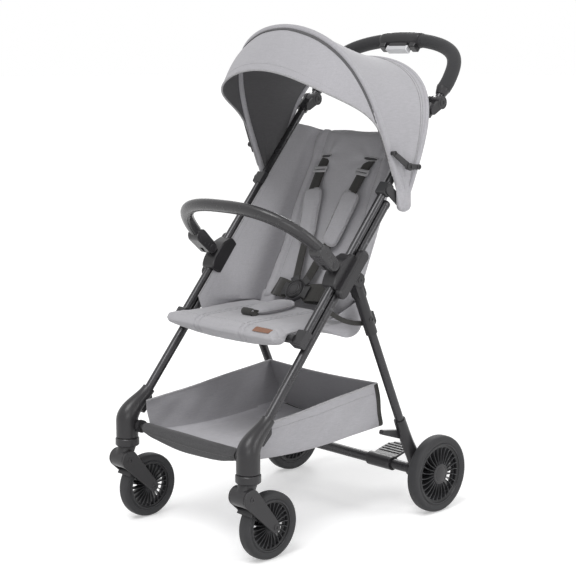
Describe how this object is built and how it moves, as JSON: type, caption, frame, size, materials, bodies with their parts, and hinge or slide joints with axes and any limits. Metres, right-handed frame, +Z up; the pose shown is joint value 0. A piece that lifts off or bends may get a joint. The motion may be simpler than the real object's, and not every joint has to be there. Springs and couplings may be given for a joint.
{
  "type": "travel stroller",
  "caption": "Compact travel stroller with telescoping side frame, caster front wheels, fold-back hood, bumper bar, five-point harness and open basket",
  "frame": {"origin": "on the floor, under the middle of the stroller's outline", "axes": "+Z up, the child faces -Y, +X is the child's left"},
  "size_m": [0.473, 0.6882, 1.0283],
  "materials": {
    "charcoal_plastic": "fine moulded grain",
    "dark_tube": "dark satin paint on aluminium tube",
    "black_tyre": "matte foam tyre",
    "grey_rim": "moulded satin",
    "grey_fabric": "fine plain weave, light warm grey",
    "charcoal_webbing": "ribbed webbing",
    "black_leatherette": "fine grain, stitched seam",
    "grip_foam": "closed foam",
    "grey_plastic": "smooth light grey",
    "grey_binding": "bound seam over a wire"
  },
  "bodies": {
    "chassis": {"front_crossbar": "dark_tube", "crossbar_sleeve": "charcoal_webbing", "basket": "grey_fabric", "front_hub_left": "charcoal_plastic", "front_hub_right": "charcoal_plastic", "front_leg_tube_left": "dark_tube", "front_leg_tube_right": "dark_tube", "side_hub_left": "charcoal_plastic", "side_hub_right": "charcoal_plastic"},
    "caster_left": {"caster_head_left": "charcoal_plastic"},
    "caster_right": {"caster_head_right": "charcoal_plastic"},
    "fork_left": {"caster_fork_left": "charcoal_plastic"},
    "fork_right": {"caster_fork_right": "charcoal_plastic"},
    "front_wheel_left": {"front_tyre_left": "black_tyre", "front_rim_left": "grey_rim"},
    "front_wheel_right": {"front_tyre_right": "black_tyre", "front_rim_right": "grey_rim"},
    "seat_frame": {"seat_tube_left": "dark_tube", "seat_tube_right": "dark_tube", "seat_bar": "dark_tube", "seat_pad": "grey_fabric", "handle_joint_left": "charcoal_plastic", "handle_joint_right": "charcoal_plastic", "hood_bow_rear": "grey_binding", "hood_fabric": "grey_fabric", "buckle": "charcoal_plastic", "waist_belt": "charcoal_webbing", "crotch_pad": "grey_fabric", "side_panel_left": "grey_fabric", "side_panel_right": "grey_fabric"},
    "buckle_button": {"buckle_button": "charcoal_plastic"},
    "backrest": {"back_pad": "grey_fabric", "shoulder_pad_left": "grey_fabric", "shoulder_pad_right": "grey_fabric", "shoulder_strap_left": "charcoal_webbing", "shoulder_strap_right": "charcoal_webbing"},
    "hood_front": {"hood_bow_front": "grey_binding", "hood_visor": "grey_fabric"},
    "stay_rear_left": {"hood_stay_rear_left": "charcoal_plastic"},
    "stay_rear_right": {"hood_stay_rear_right": "charcoal_plastic"},
    "stay_front_left": {"hood_stay_front_left": "charcoal_plastic"},
    "stay_front_right": {"hood_stay_front_right": "charcoal_plastic"},
    "handle": {"handle_frame": "dark_tube", "handle_grip": "grip_foam", "handle_housing": "charcoal_plastic"},
    "fold_button": {"fold_button": "grey_plastic"},
    "bumper": {"bumper_bar": "black_leatherette"},
    "rear_frame": {"rear_leg_left": "dark_tube", "rear_leg_right": "dark_tube", "leg_collar_left": "charcoal_plastic", "leg_collar_right": "charcoal_plastic", "rear_hub_left": "charcoal_plastic", "rear_hub_right": "charcoal_plastic", "cross_axle": "dark_tube"},
    "rear_wheel_left": {"rear_tyre_left": "black_tyre", "rear_rim_left": "grey_rim"},
    "rear_wheel_right": {"rear_tyre_right": "black_tyre", "rear_rim_right": "grey_rim"},
    "brake_pedal": {"brake_pedal": "charcoal_plastic"}
  },
  "joints": [
    {"name": "fold_slide", "type": "slide", "parent": "chassis", "child": "seat_frame", "axis": [0, -0.6429, -0.766], "range_m": [0, 0.105]},
    {"name": "rear_leg_fold", "type": "hinge", "parent": "chassis", "child": "rear_frame", "pos_m": [0, -0.01921, 0.52245], "axis": [-1, 0, 0], "range_deg": [0, 41]},
    {"name": "handle_fold", "type": "hinge", "parent": "seat_frame", "child": "handle", "pos_m": [0, 0.2269, 0.87009], "axis": [-1, 0, 0], "range_deg": [0, 120]},
    {"name": "fold_button_press", "type": "slide", "parent": "handle", "child": "fold_button", "axis": [0, 0.6074, 0.7944], "range_m": [0, 0.005], "stiffness_N_per_m": 400, "springref_m": -0.003},
    {"name": "bumper_fold", "type": "hinge", "parent": "chassis", "child": "bumper", "pos_m": [0, -0.09065, 0.56022], "axis": [1, 0, 0], "range_deg": [0, 55]},
    {"name": "hood_fold", "type": "hinge", "parent": "seat_frame", "child": "hood_front", "pos_m": [0, 0.10711, 0.665], "axis": [1, 0, 0], "range_deg": [-35, 0], "deforming": ["hood_fabric"]},
    {"name": "recline", "type": "hinge", "parent": "seat_frame", "child": "backrest", "pos_m": [0, 0.01561, 0.436], "axis": [1, 0, 0], "range_deg": [-25, 0], "deforming": ["side_panel_left", "side_panel_right"]},
    {"name": "buckle_button_press", "type": "slide", "parent": "seat_frame", "child": "buckle_button", "axis": [0, 0.788, -0.6157], "range_m": [0, 0.003], "stiffness_N_per_m": 500, "springref_m": -0.002},
    {"name": "brake_press", "type": "hinge", "parent": "rear_frame", "child": "brake_pedal", "pos_m": [0.094, 0.16711, 0.091], "axis": [-1, 0, 0], "range_deg": [0, 18]},
    {"name": "stay_rear_turn_left", "type": "hinge", "parent": "seat_frame", "child": "stay_rear_left", "pos_m": [0.2066, 0.14198, 0.74143], "axis": [1, 0, 0], "range_deg": [0, 27]},
    {"name": "stay_elbow_left", "type": "hinge", "parent": "stay_rear_left", "child": "stay_front_left", "pos_m": [0.2066, 0.10869, 0.74356], "axis": [1, 0, 0], "range_deg": [-108, 0]},
    {"name": "caster_swivel_left", "type": "hinge", "parent": "chassis", "child": "caster_left", "pos_m": [0.187, -0.31389, 0.1803], "axis": [0, 0, 1], "continuous": true},
    {"name": "suspension_left", "type": "hinge", "parent": "caster_left", "child": "fork_left", "pos_m": [0.187, -0.32489, 0.136], "axis": [1, 0, 0], "range_deg": [0, 6], "stiffness_Nm_per_rad": 60, "springref_deg": -2.46},
    {"name": "front_wheel_spin_left", "type": "hinge", "parent": "fork_left", "child": "front_wheel_left", "pos_m": [0.187, -0.26289, 0.0675], "axis": [1, 0, 0], "continuous": true},
    {"name": "rear_wheel_spin_left", "type": "hinge", "parent": "rear_frame", "child": "rear_wheel_left", "pos_m": [0.2225, 0.20011, 0.083], "axis": [1, 0, 0], "continuous": true},
    {"name": "stay_rear_turn_right", "type": "hinge", "parent": "seat_frame", "child": "stay_rear_right", "pos_m": [-0.2066, 0.14198, 0.74143], "axis": [1, 0, 0], "range_deg": [0, 27]},
    {"name": "stay_elbow_right", "type": "hinge", "parent": "stay_rear_right", "child": "stay_front_right", "pos_m": [-0.2066, 0.10869, 0.74356], "axis": [1, 0, 0], "range_deg": [-108, 0]},
    {"name": "caster_swivel_right", "type": "hinge", "parent": "chassis", "child": "caster_right", "pos_m": [-0.187, -0.31389, 0.1803], "axis": [0, 0, 1], "continuous": true},
    {"name": "suspension_right", "type": "hinge", "parent": "caster_right", "child": "fork_right", "pos_m": [-0.187, -0.32489, 0.136], "axis": [1, 0, 0], "range_deg": [0, 6], "stiffness_Nm_per_rad": 60, "springref_deg": -2.46},
    {"name": "front_wheel_spin_right", "type": "hinge", "parent": "fork_right", "child": "front_wheel_right", "pos_m": [-0.187, -0.26289, 0.0675], "axis": [1, 0, 0], "continuous": true},
    {"name": "rear_wheel_spin_right", "type": "hinge", "parent": "rear_frame", "child": "rear_wheel_right", "pos_m": [-0.2225, 0.20011, 0.083], "axis": [1, 0, 0], "continuous": true}
  ],
  "couplings": [
    {"joint": "rear_leg_fold", "follows": "fold_slide", "rad_per_m": 6.65},
    {"joint": "stay_rear_turn_left", "follows": "hood_fold", "ratio": -0.7506},
    {"joint": "stay_elbow_left", "follows": "hood_fold", "ratio": 3.056},
    {"joint": "stay_rear_turn_right", "follows": "hood_fold", "ratio": -0.7506},
    {"joint": "stay_elbow_right", "follows": "hood_fold", "ratio": 3.056}
  ]
}
